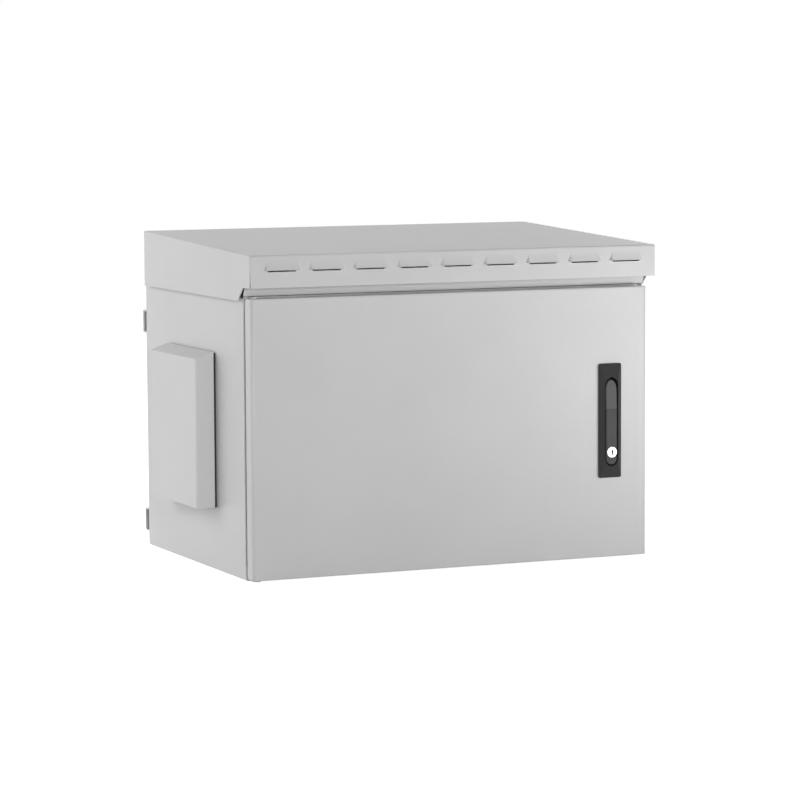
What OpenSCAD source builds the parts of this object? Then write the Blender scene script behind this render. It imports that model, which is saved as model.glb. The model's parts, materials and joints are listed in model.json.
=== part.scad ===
// Outdoor wall cabinet for 19-inch equipment, with a louvred rain roof.
// Frame: origin at the centre of the bottom face, +Z up, the door faces -Y, the wall is at +Y.

/* [Cabinet body] */
// Width over the side walls
body_w = 600; // [560:1:760]
// Depth from the front edge to the back panel
body_d = 390; // [370:1:600]
// Height under the roof
body_h = 386; // [370:1:640]
// Thickness of the folded steel sheet
sheet = 1.5; // [1:0.1:2]
// Outside radius of the sheet folds
fold_r = 3; // [2.5:0.1:5]
// Outside bend radius of the door's upright edges
door_r = 6; // [4:0.5:8]

/* [Front frame] */
// Width of the frame at the sides, out to the rain lip
frame_side = 30; // [26:0.5:36]
// Height of the frame above and below the opening
frame_high = 22; // [18:0.5:28]
// Forward reach of the rain lip
lip_d = 14; // [10:0.5:17]

/* [Door] */
// Open joint between the door rim and the body
door_gap = 7.7; // [6:0.1:10]
// Depth of the door pan
door_d = 20; // [18:0.5:26]
// Height of the door's lower edge
door_low = 2.5; // [2.5:0.1:6]
// Distance of the door's upper edge below the body's top
door_high = 1.5; // [1.5:0.1:6]
// Width of the door's inner hem
door_hem = 12; // [8:0.5:16]
// Distance of the hinge axis from the door's left side
hinge_in = 10; // [9:0.25:11]
// Distance of the hinge axis behind the door's face
hinge_back = 10.7; // [10:0.1:12]
// Radius of the hinge pins
hinge_pin_r = 3; // [2:0.1:3.5]

/* [Roof] */
// Overhang of the roof at each side
roof_side = 6.6; // [5:0.1:20]
// Overhang of the roof at the front
roof_front = 41; // [34:0.5:70]
// Distance of the roof's rear edge from the back panel
roof_back = 10; // [0:0.5:30]
// Height of the roof's front edge above the body
roof_eave = 13.6; // [10:0.1:30]
// Height of the roof's front flange
roof_flange = 44.2; // [38:0.1:70]
// Rise of the roof from front to rear
roof_rise = 16.6; // [5:0.1:40]
// Drop of the roof's side skirts below the body's top
skirt_drop = 5; // [2:0.5:20]
// Number of louvres
louvre_n = 9; // [3:1:11]
// Spacing of the louvres
louvre_pitch = 64.9; // [56:0.1:66]
// Length of a louvre between its round ends
louvre_l = 41; // [30:0.5:44]
// Height of a louvre above its slit
louvre_h = 13.5; // [9:0.5:14]
// Height of the louvre slits above the flange's lower edge
louvre_z = 23.4; // [18:0.1:24]
// Outward reach of a louvre
louvre_out = 5; // [3:0.25:6]

/* [Vent hoods] */
// Distance of a hood's front side from the body's front
hood_y = 107; // [100:0.5:130]
// Width of a hood
hood_w = 184; // [165:0.5:190]
// Height of a hood's lower edge
hood_z = 88; // [70:0.5:92]
// Distance of a hood's top below the body's top
hood_top = 82; // [76:0.5:100]
// Outward reach of a hood
hood_out = 30; // [24:0.5:50]
// Fall of a hood's top towards its outer edge
hood_fall = 9; // [4:0.5:20]
// Thickness of the hood gasket
hood_gap = 3; // [2:0.5:5]

/* [Ventilation] */
// Side of the square fan
fan_size = 120; // [110:1:122]
// Depth of the fan
fan_d = 25; // [20:1:32]
// Distance between the fan's screws
fan_pitch = 105; // [96:0.5:106]
// Number of fan blades
fan_blades = 7; // [5:1:9]
// Depth of the filter frames
filter_d = 14; // [12:0.5:20]

/* [Wall rails] */
// Height of a wall rail
rail_h = 33.5; // [28:0.5:50]
// Depth of a wall rail
rail_d = 15; // [12:0.5:30]
// Height of the lower wall rail's lower edge
rail_low = 20; // [15:0.5:30]
// Distance of the upper wall rail's upper edge below the body's top
rail_high = 41.5; // [30:0.5:60]
// Distance between the wall bolts along a rail
bolt_pitch = 500; // [440:1:520]
// Radius of the wall bolt holes
bolt_r = 4.5; // [3.5:0.25:6]

/* [Swing handle] */
// Distance of the handle's centre line from the door's right side
handle_in = 59.8; // [57:0.2:64]
// Height of the handle's lower edge
handle_z = 115.6; // [100:0.2:150]
// Length of the handle's escutcheon
handle_l = 161.8; // [130:0.2:200]
// Width of the escutcheon
handle_w = 35.5; // [33:0.5:42]
// Height of the escutcheon above the door
handle_h = 8; // [7:0.25:10]
// Width of the lever
lever_w = 17.5; // [16.5:0.1:18.5]
// Radius of the lock cylinder's face
lock_r = 7.5; // [7:0.05:8.5]
// Length of the latch cam from its axis
cam_l = 45; // [36:0.5:50]

/* [Rack] */
// Distance between the rack's two rows of holes
rack_pitch = 465.1; // [465.1:0.1:466]
// Distance of the front rack rails from the body's front
rack_front = 60; // [40:1:70]
// Depth of a rack rail's side leg
rack_leg = 40; // [30:1:45]
// Thickness of the rack rails
rack_t = 2; // [1.5:0.1:2.5]

/* [Cable entry] */
// Length of the cable cut-out in the bottom
entry_l = 240; // [200:1:300]
// Width of the cable cut-out
entry_w = 80; // [60:1:90]
// Distance of the cable cut-out from the back panel
entry_back = 60; // [52:1:70]
// Radius of the grommet holes in the gland plate
grommet_r = 16; // [10:0.5:17]

/* [Hidden] */
$fn = 64;

// Finishes
paint = "#cdcfce";
zinc = "#b4b8bb";
rubber = "#232426";
plastic = "#2e3033";
chrome = "#dfe2e4";
fleece = "#e7e4d8";

// Clearances
eps = 1;          // how far a cut runs past the face that it opens
tiny = 0.01;      // step that keeps two faces from lying on each other
run = 0.05;       // radial play of a turning fit
slip = 0.3;       // play beside pieces that move past each other
screw_play = 0.2; // radial play of a screw in its hole

// Fasteners
stud_r = 3;
stud_l = 18;
stud_flange_r = 6;
stud_flange_t = 3;
stud_collar_r = 5;
washer_r = 6.4;
washer_t = 1.6;
nut_r = 5.77;
nut_t = 5;
nut_tail = 3;
earth_in = 40;
earth_back = 60;
earth_up = 50;
small_nut_r = 4.6;
small_nut_t = 4;

// Body planes
hw = body_w / 2;
yf = -body_d / 2;
yb = body_d / 2;
in_x = hw - sheet;
in_r = fold_r - sheet;
lip_x = hw - frame_side;
lip_z0 = frame_high;
lip_z1 = body_h - frame_high;
lip_r = 6;

// Door planes
door_y1 = yf - door_gap;
door_y0 = door_y1 - door_d;
door_z0 = door_low;
door_z1 = body_h - door_high;
skin_y = door_y0 + sheet;
hem_in = door_hem + sheet;
seal_w = 10;
seal_in = 5;
seal_r = 2;

// Hinge
hinge_x = -hw + hinge_in;
hinge_y = door_y0 + hinge_back;
ear_t = 1.5;
ear_gap = 0.5;
ear_r = 5;
ear_leg_h = 20;
ear_leg_w = 22;
ear_in = 1;
pin_tail = 6;
pin_grip_l = 14;
pin_grip_r = 1.5;
pin_grip_in = 2;
block_h = 24;
block_w = 14;
block_lift = 3;
block_y0 = door_y0 + door_r - sqrt(pow(door_r - sheet, 2) - pow(door_r - fold_r, 2)) + slip;

// Roof
roof_hw = hw + roof_side;
roof_y0 = yf - roof_front;
roof_y1 = yb - roof_back;
eave_z = body_h + roof_eave;
roof_z0 = eave_z + roof_flange;
roof_z1 = roof_z0 + roof_rise;
roof_tilt = atan2(roof_rise, roof_y1 - roof_y0);
skirt_z = body_h - skirt_drop;
skirt_nose = 24;
skirt_toe = 3.5;
strip_in = 4;
strip_hw = roof_hw - strip_in;
strip_top = 13.5;
strip_foot = 8;
strip_z = 1.8;
louvre_t = 1.2;
louvre_slit = 2;
slit_z = eave_z + louvre_z;
louvre_hollow = 1 - louvre_t * norm([louvre_h, louvre_out]) / (louvre_h * louvre_out);
bracket_side = 60;
bracket_x = hw - bracket_side;
bracket_w = 24;
bracket_t = 2;
bracket_in = 25;
roof_bolt_r = 3;
roof_bolt_in = 40;

// Hoods and ventilation
hood_y0 = yf + hood_y;
hood_y1 = hood_y0 + hood_w;
hood_h = body_h - hood_z - hood_top;
hood_z1 = hood_z + hood_h;
hood_lap = 14;
hood_edge = 1;
hood_pin_r = 2.5;
hood_pin_z = 17;
vent_y = (hood_y0 + hood_y1) / 2;
vent_z = hood_z + hood_h / 2;
slot_n = 9;
slot_w = 6;
slot_l = 100;
slot_pitch = 11;
filter_rim = 12;
filter_size = fan_size + 2 * filter_rim;
filter_pitch = filter_size - filter_rim;
filter_wall = 2;
filter_r = 6;
mat_gap = 2.5;
filter_bars = 4;
filter_post_r = 5;
filter_screw_r = 2;
fan_screw_r = 2;
fan_wall = 3;
fan_bore = fan_size / 2 - fan_wall;
fan_r = 7;
fan_arm_w = 5;
hub_r = 20;
fan_base_t = 3;
fan_shaft_r = 2.5;
blade_t = 1.8;
blade_pitch = 38;
blade_gap = 1.5;
blade_l = 44;
blade_root = 3;
rotor_back = 2;
guard_wire = 1;
guard_rings = 4;
guard_in = 4;
guard_eye_r = 4.5;
guard_eye = 2.4 * guard_wire;
guard_ring_x = 2.7 * guard_wire;
fan_x1 = in_x - filter_d;
fan_x0 = fan_x1 - fan_d;

// Wall rails
rail_t = 2;
rail_r = fold_r + rail_t / 2;
rail_pitch = body_h - rail_low - rail_high - rail_h;
rail_mid = rail_low + rail_h / 2;

// Rack
support_leg = 24;
support_in = 20;
support_step = 2;
support_z0 = lip_z0 - support_step;
support_z1 = lip_z1 + support_step;
rack_unit = 44.45;
rack_hole = 9.5;
rack_hole_z = [6.35, 22.225, 38.1];
rack_r = 3.5;
rack_slot_in = 6;
rack_foot_in = 4;
rack_edge = 7.5;
rack_x0 = rack_pitch / 2 - rack_edge;
rack_face = 20;
rack_x1 = rack_x0 + rack_face;
rack_foot = 24;
rack_screw_in = 10;
rack_screw_x = rack_x1 + rack_screw_in;
rack_screw_r = 3;
support_lap = 2;
support_w = in_x - rack_x1 + support_lap;
rack_z0 = support_z0;
rack_z1 = support_z1;
rack_spare = 10;
rack_n = floor((rack_z1 - rack_z0 - 2 * rack_t - rack_spare) / rack_unit);
rack_base = (rack_z0 + rack_z1 - rack_n * rack_unit) / 2;
rack_yf = yf + rack_front;
rack_back = 45;
rack_yr = yb - rack_back;

// Cable entry
entry_y1 = yb - entry_back;
entry_y0 = entry_y1 - entry_w;
entry_lap = 18;
entry_r = 6;
gland_r = 8;
gland_seal = 1.5;
gland_t = 2;
gland_z = sheet + gland_seal;
grommet_n = 4;
grommet_lip = 2.5;
grommet_rim = 3;
grommet_step = 4;
grommet_skin = 1.5;
grommet_mid = 0.7;
grommet_tip = 0.4;
grommet_bore = 0.55;
grommet_hole = 0.28;
grommet_pitch = entry_l / grommet_n;
gland_screw_r = 2.5;

// Swing handle, measured outwards from the door's face
handle_x = hw - handle_in;
handle_mid = handle_z + handle_l / 2;
lock_seal = 1;
seal_edge = 1;
handle_r = 3;
handle_rim = 1.5;
plateau_w = 21;
plateau_low = 18.5;
plateau_high = 19;
recess_gap = 3.1;
recess_w = lever_w + recess_gap;
recess_low = 16.9;
recess_z0 = handle_z + recess_low;
lever_gap = 1.8;
lever_short = 41.4;
lever_l = handle_l - lever_short;
lever_z0 = recess_z0 + lever_gap;
lever_z1 = lever_z0 + lever_l;
pivot_in = 3.5;
pivot_drop = 18.8;
pivot_z = lever_z1 - pivot_drop;
pivot_y = door_y0 + pivot_in;
lever_swing = norm([pivot_drop, pivot_in + handle_h]);
recess_z1 = pivot_z + lever_swing + slip;
tub_d = 13;
tub_floor = 2.5;
tub_wall = 2.5;
tub_r = 4;
tub_deep = tub_d - tub_floor;
lever_chamfer = 2;
lever_nose = 20;
lug_w = 7.4;
lug_r = 3;
clevis_r = 3.1;
clevis_t = 3;
lever_pin_r = 1.5;
lock_up = 18;
lock_z = lever_z0 + lock_up;
lock_rim = 1.5;
barrel_r = lock_r - lock_rim;
barrel_tail = 6;
plug_r = 4.6;
face_t = 1.2;
tongue_l = 8.5;
tongue_w = 7;
tongue_t = 2;
tongue_rim = 0.5;
keyway_w = 2.4;
keyway_low = 3.8;
keyway_high = 3.4;
spindle_r = 6;
head_gap = 0.5;
spindle_head = recess_w / 2 - head_gap;
head_t = 2.5;
square_w = 7;
cam_t = 3;
cam_w = 16;
cam_gap = 1.8;
cam_screw_r = 2;
cam_screw_l = 11;
cam_screw_hole = 12;
cam_washer_r = 6;
cam_washer_t = 1.2;
cam_y0 = yf + sheet + cam_gap;
cam_y1 = cam_y0 + cam_t;
lock_screw_r = 2;
lock_screw_low = 8;
lock_screw_high = 8.5;
lock_screw_l = 2.8;
lock_screw_bite = 2.4;

// 2-D shapes and extrusions along each axis

module along_x(x0, x1) translate([x0, 0, 0]) rotate([90, 0, 90]) linear_extrude(x1 - x0) children();

module along_y(y0, y1) translate([0, y1, 0]) rotate([90, 0, 0]) linear_extrude(y1 - y0) children();

module along_z(z0, z1) translate([0, 0, z0]) linear_extrude(z1 - z0) children();

module rect(x0, x1, y0, y1) translate([x0, y0]) square([x1 - x0, y1 - y0]);

module round_rect(x0, x1, y0, y1, r) {
  rect(x0 + r, x1 - r, y0, y1);
  rect(x0, x1, y0 + r, y1 - r);
  for (x = [x0 + r, x1 - r], y = [y0 + r, y1 - r]) translate([x, y]) circle(r);
}

// Rectangle whose corners at its lower edge are round
module round_front(x0, x1, y0, y1, r) {
  rect(x0 + r, x1 - r, y0, y1);
  rect(x0, x1, y0 + r, y1);
  for (x = [x0 + r, x1 - r]) translate([x, y0 + r]) circle(r);
}

// Turns a shape over so that its two axes change places
module swapped() mirror([1, -1]) children();

module slab(p, q) translate(p) cube(q - p);

// Rod of radius r along an axis that starts at point p
module rod_x(p, l, r) translate(p) rotate([0, 90, 0]) cylinder(h = l, r = r);

module rod_y(p, l, r) translate(p) rotate([-90, 0, 0]) cylinder(h = l, r = r);

module rod_z(p, l, r) translate(p) cylinder(h = l, r = r);

// Folded sheet: a line of points along the middle of the sheet, bent to a radius at each corner
bend_steps = 4;

function unit(v) = v / norm(v);

function side(v) = [-v[1], v[0]];

function turned(v, a) = [v[0] * cos(a) - v[1] * sin(a), v[0] * sin(a) + v[1] * cos(a)];

function bend(p, i, r) =
  let (
    a = unit(p[i] - p[i - 1]),
    b = unit(p[i + 1] - p[i]),
    angle = atan2(cross(a, b), a * b),
    s = sign(angle),
    start = p[i] - a * r * tan(abs(angle) / 2),
    centre = start + side(a) * s * r
  )
  [for (k = [0:bend_steps]) let (n = turned(side(a), angle * k / bend_steps)) [centre - n * s * r, n]];

function fold_line(p, r) =
  let (last = len(p) - 1)
  concat(
    [[p[0], side(unit(p[1] - p[0]))]],
    [for (i = [1:last - 1]) each bend(p, i, r)],
    [[p[last], side(unit(p[last] - p[last - 1]))]]
  );

module folded(points, t, r) {
  line = fold_line(points, r - t / 2);
  last = len(line) - 1;
  polygon(concat(
    [for (q = line) q[0] + q[1] * t / 2],
    [for (k = [last:-1:0]) line[k][0] - line[k][1] * t / 2]
  ));
}

// Screw along +Z from under its head: pan head below the origin, shank above it
module screw(r, l) {
  rotate([180, 0, 0]) difference() {
    cylinder(h = 1.2 * r, r = 2 * r);
    translate([0, 0, 0.6 * r]) cylinder(h = r, r = 0.9 * r, $fn = 6);
  }
  cylinder(h = l, r = r);
}

// Welded earth stud with a nut, along +Z
module earth_stud() {
  cylinder(h = stud_l, r = stud_r);
  cylinder(h = stud_flange_t, r = stud_flange_r);
  translate([0, 0, stud_flange_t]) cylinder(h = stud_flange_t, r = stud_collar_r);
  translate([0, 0, 2 * stud_flange_t]) cylinder(h = washer_t, r = washer_r);
  translate([0, 0, 2 * stud_flange_t + washer_t]) hex_nut();
}

module hex_nut() cylinder(h = nut_t, r = nut_r, $fn = 6);

module mirrored(right) mirror([right ? 1 : 0, 0, 0]) children();

// Body

module body_wrap() color(paint) difference() {
  along_y(yf, yb) difference() {
    round_rect(-hw, hw, 0, body_h, fold_r);
    round_rect(-in_x, in_x, sheet, body_h - sheet, in_r);
  }
  for (right = [false, true]) mirrored(right) {
    vent_slots();
    for (q = hood_pins()) rod_x([-hw - eps, q[0], q[1]], sheet + 2 * eps, hood_pin_r + screw_play);
    for (q = square_places(filter_pitch))
      rod_x([-hw - eps, q[0], q[1]], sheet + 2 * eps, filter_screw_r + screw_play);
  }
  along_z(-eps, sheet + eps) round_rect(-entry_l / 2, entry_l / 2, entry_y0, entry_y1, entry_r);
  for (q = gland_places()) rod_z([q[0], q[1], -eps], sheet + 2 * eps, gland_screw_r + screw_play);
  for (q = roof_bolt_places())
    rod_z([q[0], q[1], body_h - sheet - eps], sheet + 2 * eps, roof_bolt_r + screw_play);
}

// Row of slots through the left wall behind the hood
module vent_slots() along_x(-hw - eps, -in_x + eps) for (k = [0:slot_n - 1]) {
  z = vent_z + (k - (slot_n - 1) / 2) * slot_pitch;
  round_rect(vent_y - slot_l / 2, vent_y + slot_l / 2, z - slot_w / 2, z + slot_w / 2, slot_w / 2 - tiny);
}

module front_frame() color(paint) {
  along_y(yf, yf + sheet) difference() {
    round_rect(-in_x, in_x, sheet, body_h - sheet, in_r);
    round_rect(-lip_x, lip_x, lip_z0, lip_z1, lip_r);
  }
  along_y(yf - lip_d, yf + sheet) difference() {
    round_rect(-lip_x, lip_x, lip_z0, lip_z1, lip_r);
    round_rect(-lip_x + sheet, lip_x - sheet, lip_z0 + sheet, lip_z1 - sheet, lip_r - sheet);
  }
}

module back_panel() color(paint) difference() {
  along_y(yb - sheet, yb) round_rect(-in_x, in_x, sheet, body_h - sheet, in_r);
  for (x = [-1, 1], z = [rail_mid, rail_mid + rail_pitch])
    rod_y([x * bolt_pitch / 2, yb - sheet - eps, z], sheet + 2 * eps, bolt_r);
}

// Folded channel across the back that holds the cabinet off the wall
module wall_rail(z0) color(paint) difference() {
  along_x(-hw, hw) folded([
    [yb, z0 + rail_t / 2],
    [yb + rail_d - rail_t / 2, z0 + rail_t / 2],
    [yb + rail_d - rail_t / 2, z0 + rail_h - rail_t / 2],
    [yb, z0 + rail_h - rail_t / 2]
  ], rail_t, rail_r);
  for (x = [-1, 1]) rod_y([x * bolt_pitch / 2, yb, z0 + rail_h / 2], rail_d + eps, bolt_r);
}

// Roof

function louvre_x(k) = (k - (louvre_n - 1) / 2) * louvre_pitch;

function roof_z(y) = roof_z0 + (y - roof_y0) * tan(roof_tilt);

module roof_cover() color(paint) {
  difference() {
    intersection() {
      roof_sheet();
      roof_envelope();
    }
    for (k = [0:louvre_n - 1]) translate([louvre_x(k), 0, 0]) louvre_inside();
  }
  for (k = [0:louvre_n - 1]) translate([louvre_x(k), 0, 0]) difference() {
    louvre_wedge(1, sheet);
    louvre_inside();
  }
}

// Top, front flange and rear flange in one sheet, soffit with its drip strip, and two side skirts
module roof_sheet() {
  m = sheet / 2;
  along_x(-roof_hw, roof_hw) folded([
    [roof_y1 - m, body_h + ear_gap],
    [roof_y1 - m, roof_z(roof_y1 - m) - m / cos(roof_tilt)],
    [roof_y0 + m, roof_z(roof_y0 + m) - m / cos(roof_tilt)],
    [roof_y0 + m, eave_z]
  ], sheet, fold_r);
  along_x(-strip_hw, strip_hw) folded([
    [roof_y0 + m, eave_z + 2 * fold_r],
    [roof_y0 + m, eave_z + m],
    [yf - strip_top, eave_z + m],
    [yf - strip_foot, body_h + strip_z]
  ], sheet, fold_r);
  for (right = [false, true]) mirrored(right) along_x(-roof_hw, -roof_hw + sheet) polygon([
    [roof_y1, skirt_z],
    [roof_y1, roof_z1],
    [roof_y0, roof_z0],
    [roof_y0, eave_z],
    [roof_y0 + skirt_nose, eave_z],
    [yf + skirt_toe, skirt_z]
  ]);
}

// Space that the roof fills, with its folds along the sides and its four corners round
module roof_envelope() intersection() {
  translate([0, roof_y0, roof_z0]) rotate([roof_tilt, 0, 0])
    along_y(-body_d, 2 * body_d) round_rect(-roof_hw, roof_hw, -body_h, 0, fold_r);
  along_z(0, 2 * body_h) round_rect(-roof_hw, roof_hw, roof_y0, roof_y1, fold_r);
}

// Pressed louvre: a wedge that leans out over its slit, with half a cone at each end
module louvre_wedge(k, back) translate([0, roof_y0, slit_z]) intersection() {
  union() {
    along_x(-louvre_l / 2, louvre_l / 2)
      polygon([[back, 0], [-k * louvre_out, 0], [0, k * louvre_h], [back, k * louvre_h]]);
    for (x = [-1, 1]) translate([x * louvre_l / 2, 0, 0])
      cylinder(h = k * louvre_h, r1 = k * louvre_out, r2 = 0);
  }
  slab([-louvre_l, -louvre_out - eps, 0], [louvre_l, back, louvre_h]);
}

// Hollow of a louvre, and the slit below its lip
module louvre_inside() {
  translate([0, 0, -tiny]) louvre_wedge(louvre_hollow, sheet + eps);
  slab(
    [-louvre_l / 2, roof_y0 - eps, slit_z - louvre_slit],
    [louvre_l / 2, roof_y0 + sheet + eps, slit_z]
  );
}

function roof_bolt_places() = [
  for (x = [-1, 1] * (bracket_x + bracket_w / 2), y = [yf, yb] - [-1, 1] * (bracket_in + roof_bolt_in))
    [x, y]
];

// Folded bracket between the body's top and the roof, its upper edge on the slope
module roof_bracket(right) color(paint) mirrored(right) {
  y0 = yf + bracket_in;
  y1 = yb - bracket_in;
  under = sheet / cos(roof_tilt);
  difference() {
    union() {
      along_x(-bracket_x - bracket_t, -bracket_x) polygon([
        [y0, body_h], [y1, body_h], [y1, roof_z(y1) - under], [y0, roof_z(y0) - under]
      ]);
      along_x(-bracket_x - bracket_w, -bracket_x) rect(y0, y1, body_h, body_h + bracket_t);
      along_x(-bracket_x - bracket_w, -bracket_x) polygon([
        [y0, roof_z(y0) - under - bracket_t], [y1, roof_z(y1) - under - bracket_t],
        [y1, roof_z(y1) - under], [y0, roof_z(y0) - under]
      ]);
    }
    for (q = roof_bolt_places())
      rod_z([-abs(q[0]), q[1], body_h - eps], bracket_t + 2 * eps, roof_bolt_r + screw_play);
  }
}

module roof_bolts() color(zinc) for (q = roof_bolt_places()) translate([q[0], q[1], body_h - sheet]) {
  screw(roof_bolt_r, sheet + bracket_t + nut_t + nut_tail);
  translate([0, 0, sheet + bracket_t]) hex_nut();
}

// Vent hoods and filters

function hood_pins() = [
  for (y = [hood_y0 + hood_lap / 2, hood_y1 - hood_lap / 2], z = [hood_z + hood_pin_z, hood_z1 - hood_pin_z])
    [y, z]
];

function square_places(pitch) = [
  for (y = [-1, 1], z = [-1, 1]) [vent_y + y * pitch / 2, vent_z + z * pitch / 2]
];

module vent_hood(right) color(paint) mirrored(right) {
  wall_x = -hw - hood_gap;
  out_x = -hw - hood_out;
  top_z = hood_z1 - hood_fall;
  m = sheet / 2;
  intersection() {
    union() {
      along_y(hood_y0, hood_y1) folded([
        [out_x + m, hood_z],
        [out_x + m, top_z - m],
        [wall_x - slip, hood_z1 - m]
      ], sheet, fold_r);
      for (y = [hood_y0, hood_y1 - sheet]) along_y(y, y + sheet) polygon([
        [wall_x, hood_z], [out_x + m, hood_z], [out_x + m, top_z - m], [wall_x, hood_z1 - m]
      ]);
    }
    along_z(0, 2 * body_h) swapped() round_front(hood_y0, hood_y1, out_x, wall_x, fold_r);
  }
  difference() {
    for (y = [hood_y0, hood_y1 - hood_lap])
      slab([wall_x - sheet, y, hood_z], [wall_x, y + hood_lap, hood_z1 - 2 * fold_r]);
    for (q = hood_pins())
      rod_x([wall_x - sheet - eps, q[0], q[1]], sheet + 2 * eps, hood_pin_r + screw_play);
  }
}

// Sealing strip between a hood and the wall, open at the bottom
module hood_gasket(right) color(rubber) mirrored(right) difference() {
  along_x(-hw - hood_gap, -hw) difference() {
    rect(hood_y0 + hood_edge, hood_y1 - hood_edge, hood_z, hood_z1 - sheet);
    rect(hood_y0 + hood_lap, hood_y1 - hood_lap, hood_z - eps, hood_z1 - hood_lap);
  }
  for (q = hood_pins())
    rod_x([-hw - hood_gap - eps, q[0], q[1]], hood_gap + 2 * eps, hood_pin_r + screw_play);
}

module hood_screws() color(zinc) for (right = [false, true], q = hood_pins()) mirrored(right)
  translate([-in_x, q[0], q[1]]) rotate([0, -90, 0]) {
    screw(hood_pin_r, 2 * sheet + hood_gap + small_nut_t + nut_tail);
    translate([0, 0, 2 * sheet + hood_gap]) cylinder(h = small_nut_t, r = small_nut_r, $fn = 6);
  }

// Moulded tray with a bar grille, open to the wall, that holds the filter mat
module filter_frame(right) color(plastic) mirrored(right) {
  half = filter_size / 2;
  places = concat(square_places(filter_pitch), square_places(fan_pitch));
  difference() {
    union() {
      difference() {
        filter_square(-in_x, -in_x + filter_d, half, filter_r);
        filter_square(
          -in_x - eps, -in_x + filter_d - filter_wall, half - filter_wall, filter_r - filter_wall
        );
        intersection() {
          rod_x([-in_x - eps, vent_y, vent_z], filter_d + 2 * eps, fan_bore);
          filter_gaps();
        }
      }
      for (q = places) rod_x([-in_x, q[0], q[1]], filter_d, filter_post_r);
    }
    for (q = places) rod_x([-in_x - eps, q[0], q[1]], filter_d + 2 * eps, filter_screw_r + screw_play);
  }
}

module filter_square(x0, x1, half, r) along_x(x0, x1)
  round_rect(vent_y - half, vent_y + half, vent_z - half, vent_z + half, r);

// Gaps between the bars of a filter frame
module filter_gaps() {
  step = 2 * fan_bore / (filter_bars + 1);
  for (k = [0:filter_bars])
    slab(
      [-in_x - eps, vent_y - fan_bore, vent_z - fan_bore + k * step + filter_wall / 2],
      [-in_x + filter_d + eps, vent_y + fan_bore, vent_z - fan_bore + (k + 1) * step - filter_wall / 2]
    );
}

module filter_mat(right) color(fleece) mirrored(right) difference() {
  half = filter_size / 2 - filter_wall - slip;
  along_x(-in_x, -in_x + filter_d - filter_wall)
    rect(vent_y - half, vent_y + half, vent_z - half, vent_z + half);
  for (q = concat(square_places(filter_pitch), square_places(fan_pitch)))
    slab(
      [-in_x - eps, q[0] - filter_post_r - mat_gap, q[1] - filter_post_r - mat_gap],
      [-in_x + filter_d, q[0] + filter_post_r + mat_gap, q[1] + filter_post_r + mat_gap]
    );
  for (y = [-1, 1], z = [-1, 1]) translate([-in_x, vent_y + y * half, vent_z + z * half])
    slab([-eps, -filter_rim, -filter_rim], [filter_d, filter_rim, filter_rim]);
}

module filter_screws() color(zinc)
  for (right = [false, true], q = square_places(filter_pitch)) mirrored(right)
    translate([-in_x + filter_d, q[0], q[1]])
      rotate([0, -90, 0]) screw(filter_screw_r, filter_d + sheet + eps);

// Fan on the right-hand filter frame

module fan_frame() color(plastic) {
  half = fan_size / 2;
  difference() {
    along_x(fan_x0, fan_x1) round_rect(vent_y - half, vent_y + half, vent_z - half, vent_z + half, fan_r);
    rod_x([fan_x0 - eps, vent_y, vent_z], fan_d + 2 * eps, fan_bore);
    for (q = square_places(fan_pitch))
      rod_x([fan_x0 - eps, q[0], q[1]], fan_d + 2 * eps, fan_screw_r + screw_play);
  }
  rod_x([fan_x0, vent_y, vent_z], fan_base_t, hub_r);
  rod_x([fan_x0, vent_y, vent_z], fan_d / 2, fan_shaft_r);
  for (a = [45:90:315]) translate([0, vent_y, vent_z]) rotate([a, 0, 0])
    slab([fan_x0, -fan_arm_w / 2, hub_r - eps], [fan_x0 + fan_base_t, fan_arm_w / 2, fan_bore + eps]);
}

module fan_rotor() color(plastic) {
  x0 = fan_x0 + fan_base_t + slip;
  x1 = fan_x1 - rotor_back;
  difference() {
    union() {
      rod_x([x0, vent_y, vent_z], x1 - x0, hub_r);
      intersection() {
        for (k = [0:fan_blades - 1]) translate([(x0 + x1) / 2, vent_y, vent_z])
          rotate([k * 360 / fan_blades, 0, 0]) rotate([0, 0, blade_pitch]) slab(
            [-blade_t / 2, -blade_l / 2, hub_r - blade_root],
            [blade_t / 2, blade_l / 2, fan_bore]
          );
        rod_x([x0, vent_y, vent_z], x1 - x0, fan_bore - blade_gap);
      }
    }
    rod_x([x0 - eps, vent_y, vent_z], fan_d / 2 - fan_base_t + eps, fan_shaft_r + run);
  }
}

// Wire guard on the fan's inner face: rings on four spokes, each with an eye for a screw
module fan_guard() color(chrome) {
  step = (fan_bore - guard_in) / guard_rings;
  reach = fan_pitch / sqrt(2);
  for (k = [1:guard_rings]) translate([fan_x0 - guard_ring_x, vent_y, vent_z]) rotate([0, 90, 0])
    rotate_extrude() translate([k * step, 0]) circle(guard_wire);
  for (a = [45:90:315]) translate([fan_x0, vent_y, vent_z]) rotate([a, 0, 0]) {
    rod_z([-guard_eye / 2, 0, step - eps], reach - step - 2 * eps, guard_wire);
    difference() {
      rod_x([-guard_eye, 0, reach], guard_eye, guard_eye_r);
      rod_x([-guard_eye - eps, 0, reach], guard_eye + 2 * eps, fan_screw_r + screw_play);
    }
  }
}

module fan_screws() color(zinc) for (q = square_places(fan_pitch))
  translate([fan_x0 - guard_eye, q[0], q[1]]) rotate([0, 90, 0])
    screw(fan_screw_r, guard_eye + fan_d + filter_d - filter_wall);

// Rack

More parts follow.
